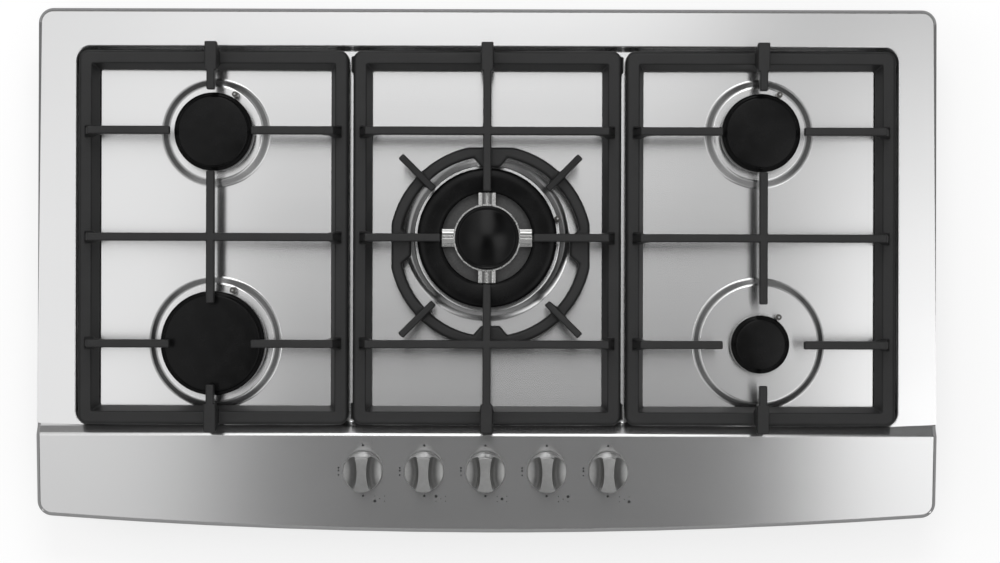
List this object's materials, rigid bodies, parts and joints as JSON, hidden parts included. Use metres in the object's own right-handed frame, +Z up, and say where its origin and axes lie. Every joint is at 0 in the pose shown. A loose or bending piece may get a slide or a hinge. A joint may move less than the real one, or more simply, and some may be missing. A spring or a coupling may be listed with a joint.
{
  "type": "gas cooktop",
  "caption": "Drop-in gas cooktop: stainless plate with a bowed front, sloping knob panel, cast pan supports, ringed wok burner, gas taps and inlet.",
  "frame": {"origin": "middle of the footprint, on the underside of the base pan", "axes": "+X to the cook's right, +Y to the rear, +Z up"},
  "size_m": [0.9, 0.525, 0.11],
  "materials": {
    "stainless": "brushed across the width, satin",
    "zinc_steel": "galvanised, dull",
    "screw_steel": "plain",
    "cast_iron": "matt black enamel",
    "black_enamel": "satin black enamel",
    "burner_aluminium": "die cast, satin",
    "cast_aluminium": "as cast",
    "pipe_aluminium": "drawn tube",
    "chrome_rim": "bright, as its bridges show",
    "satin_knob": "satin plated",
    "brass": "machined",
    "spark_ceramic": "dark glazed ceramic",
    "black_rubber": "matt",
    "seal_foam": "closed cell foam",
    "black_plastic": "moulded",
    "lead_silicone": "silicone sleeve"
  },
  "bodies": {
    "cooktop": {"top_plate": "stainless", "worktop_seal": "seal_foam", "base_pan": "zinc_steel", "m4_screws": "screw_steel", "rear_left_cup": "cast_aluminium", "front_left_cup": "cast_aluminium", "rear_right_cup": "cast_aluminium", "front_right_cup": "cast_aluminium", "wok_cup": "cast_aluminium", "burner_jets": "brass", "spark_ceramics": "spark_ceramic", "spark_pins": "screw_steel", "gas_taps": "cast_aluminium", "gas_rail": "zinc_steel", "inlet_elbow": "brass", "feed_pipes": "pipe_aluminium", "ignition_module": "black_plastic", "ignition_leads": "lead_silicone", "cable_bush": "black_rubber", "tap_bracket": "zinc_steel"},
    "left_grate": {"left_grate": "cast_iron", "left_grate_feet": "black_rubber"},
    "centre_grate": {"centre_grate": "cast_iron", "centre_grate_feet": "black_rubber"},
    "right_grate": {"right_grate": "cast_iron", "right_grate_feet": "black_rubber"},
    "wok_ring": {"wok_ring": "cast_iron"},
    "rear_left_head": {"rear_left_head": "burner_aluminium"},
    "rear_left_cap": {"rear_left_cap": "black_enamel"},
    "front_left_head": {"front_left_head": "burner_aluminium"},
    "front_left_cap": {"front_left_cap": "black_enamel"},
    "rear_right_head": {"rear_right_head": "burner_aluminium"},
    "rear_right_cap": {"rear_right_cap": "black_enamel"},
    "front_right_head": {"front_right_head": "burner_aluminium"},
    "front_right_cap": {"front_right_cap": "black_enamel"},
    "wok_burner_head": {"wok_burner_head": "burner_aluminium", "wok_port_ring": "burner_aluminium"},
    "wok_outer_cap": {"wok_outer_cap": "black_enamel"},
    "wok_inner_head": {"wok_inner_head": "chrome_rim"},
    "wok_inner_cap": {"wok_inner_cap": "black_enamel"},
    "front_left_tap_plug": {"front_left_tap_plug": "brass", "front_left_tap_spring": "screw_steel"},
    "front_left_knob": {"front_left_knob": "satin_knob", "front_left_spindle": "screw_steel"},
    "rear_left_tap_plug": {"rear_left_tap_plug": "brass", "rear_left_tap_spring": "screw_steel"},
    "rear_left_knob": {"rear_left_knob": "satin_knob", "rear_left_spindle": "screw_steel"},
    "wok_tap_plug": {"wok_tap_plug": "brass", "wok_tap_spring": "screw_steel"},
    "wok_knob": {"wok_knob": "satin_knob", "wok_spindle": "screw_steel"},
    "rear_right_tap_plug": {"rear_right_tap_plug": "brass", "rear_right_tap_spring": "screw_steel"},
    "rear_right_knob": {"rear_right_knob": "satin_knob", "rear_right_spindle": "screw_steel"},
    "front_right_tap_plug": {"front_right_tap_plug": "brass", "front_right_tap_spring": "screw_steel"},
    "front_right_knob": {"front_right_knob": "satin_knob", "front_right_spindle": "screw_steel"}
  },
  "joints": [
    {"name": "left_grate_lift", "type": "slide", "parent": "cooktop", "child": "left_grate", "axis": [0, 0, 1], "range_m": [0, 0.12]},
    {"name": "centre_grate_lift", "type": "slide", "parent": "cooktop", "child": "centre_grate", "axis": [0, 0, 1], "range_m": [0, 0.12]},
    {"name": "right_grate_lift", "type": "slide", "parent": "cooktop", "child": "right_grate", "axis": [0, 0, 1], "range_m": [0, 0.12]},
    {"name": "wok_ring_lift", "type": "slide", "parent": "cooktop", "child": "wok_ring", "axis": [0, 0, 1], "range_m": [0, 0.003]},
    {"name": "rear_left_head_lift", "type": "slide", "parent": "cooktop", "child": "rear_left_head", "axis": [0, 0, 1], "range_m": [0, 0.05]},
    {"name": "rear_left_cap_lift", "type": "slide", "parent": "rear_left_head", "child": "rear_left_cap", "axis": [0, 0, 1], "range_m": [0, 0.06]},
    {"name": "front_left_head_lift", "type": "slide", "parent": "cooktop", "child": "front_left_head", "axis": [0, 0, 1], "range_m": [0, 0.006]},
    {"name": "front_left_cap_lift", "type": "slide", "parent": "front_left_head", "child": "front_left_cap", "axis": [0, 0, 1], "range_m": [0, 0.006]},
    {"name": "rear_right_head_lift", "type": "slide", "parent": "cooktop", "child": "rear_right_head", "axis": [0, 0, 1], "range_m": [0, 0.05]},
    {"name": "rear_right_cap_lift", "type": "slide", "parent": "rear_right_head", "child": "rear_right_cap", "axis": [0, 0, 1], "range_m": [0, 0.06]},
    {"name": "front_right_head_lift", "type": "slide", "parent": "cooktop", "child": "front_right_head", "axis": [0, 0, 1], "range_m": [0, 0.05]},
    {"name": "front_right_cap_lift", "type": "slide", "parent": "front_right_head", "child": "front_right_cap", "axis": [0, 0, 1], "range_m": [0, 0.06]},
    {"name": "wok_head_lift", "type": "slide", "parent": "cooktop", "child": "wok_burner_head", "axis": [0, 0, 1], "range_m": [0, 0.0045]},
    {"name": "wok_outer_cap_lift", "type": "slide", "parent": "wok_burner_head", "child": "wok_outer_cap", "axis": [0, 0, 1], "range_m": [0, 0.0045]},
    {"name": "wok_inner_head_lift", "type": "slide", "parent": "wok_burner_head", "child": "wok_inner_head", "axis": [0, 0, 1], "range_m": [0, 0.05]},
    {"name": "wok_inner_cap_lift", "type": "slide", "parent": "wok_inner_head", "child": "wok_inner_cap", "axis": [0, 0, 1], "range_m": [0, 0.05]},
    {"name": "front_left_knob_turn", "type": "hinge", "parent": "cooktop", "child": "front_left_tap_plug", "pos_m": [-0.1234, -0.1996, 0.06584], "axis": [0, -0.0872, 0.9962], "range_deg": [0, 180]},
    {"name": "front_left_knob_push", "type": "slide", "parent": "front_left_tap_plug", "child": "front_left_knob", "axis": [0, 0.0872, -0.9962], "range_m": [0, 0.0035], "stiffness_N_per_m": 1500, "springref_m": -0.004, "deforming": ["front_left_tap_spring"]},
    {"name": "rear_left_knob_turn", "type": "hinge", "parent": "cooktop", "child": "rear_left_tap_plug", "pos_m": [-0.0622, -0.1996, 0.06584], "axis": [0, -0.0872, 0.9962], "range_deg": [0, 180]},
    {"name": "rear_left_knob_push", "type": "slide", "parent": "rear_left_tap_plug", "child": "rear_left_knob", "axis": [0, 0.0872, -0.9962], "range_m": [0, 0.0035], "stiffness_N_per_m": 1500, "springref_m": -0.004, "deforming": ["rear_left_tap_spring"]},
    {"name": "wok_knob_turn", "type": "hinge", "parent": "cooktop", "child": "wok_tap_plug", "pos_m": [-0.001, -0.1996, 0.06584], "axis": [0, -0.0872, 0.9962], "range_deg": [0, 180]},
    {"name": "wok_knob_push", "type": "slide", "parent": "wok_tap_plug", "child": "wok_knob", "axis": [0, 0.0872, -0.9962], "range_m": [0, 0.0035], "stiffness_N_per_m": 1500, "springref_m": -0.004, "deforming": ["wok_tap_spring"]},
    {"name": "rear_right_knob_turn", "type": "hinge", "parent": "cooktop", "child": "rear_right_tap_plug", "pos_m": [0.0602, -0.1996, 0.06584], "axis": [0, -0.0872, 0.9962], "range_deg": [0, 180]},
    {"name": "rear_right_knob_push", "type": "slide", "parent": "rear_right_tap_plug", "child": "rear_right_knob", "axis": [0, 0.0872, -0.9962], "range_m": [0, 0.0035], "stiffness_N_per_m": 1500, "springref_m": -0.004, "deforming": ["rear_right_tap_spring"]},
    {"name": "front_right_knob_turn", "type": "hinge", "parent": "cooktop", "child": "front_right_tap_plug", "pos_m": [0.1214, -0.1996, 0.06584], "axis": [0, -0.0872, 0.9962], "range_deg": [0, 180]},
    {"name": "front_right_knob_push", "type": "slide", "parent": "front_right_tap_plug", "child": "front_right_knob", "axis": [0, 0.0872, -0.9962], "range_m": [0, 0.0035], "stiffness_N_per_m": 1500, "springref_m": -0.004, "deforming": ["front_right_tap_spring"]}
  ]
}
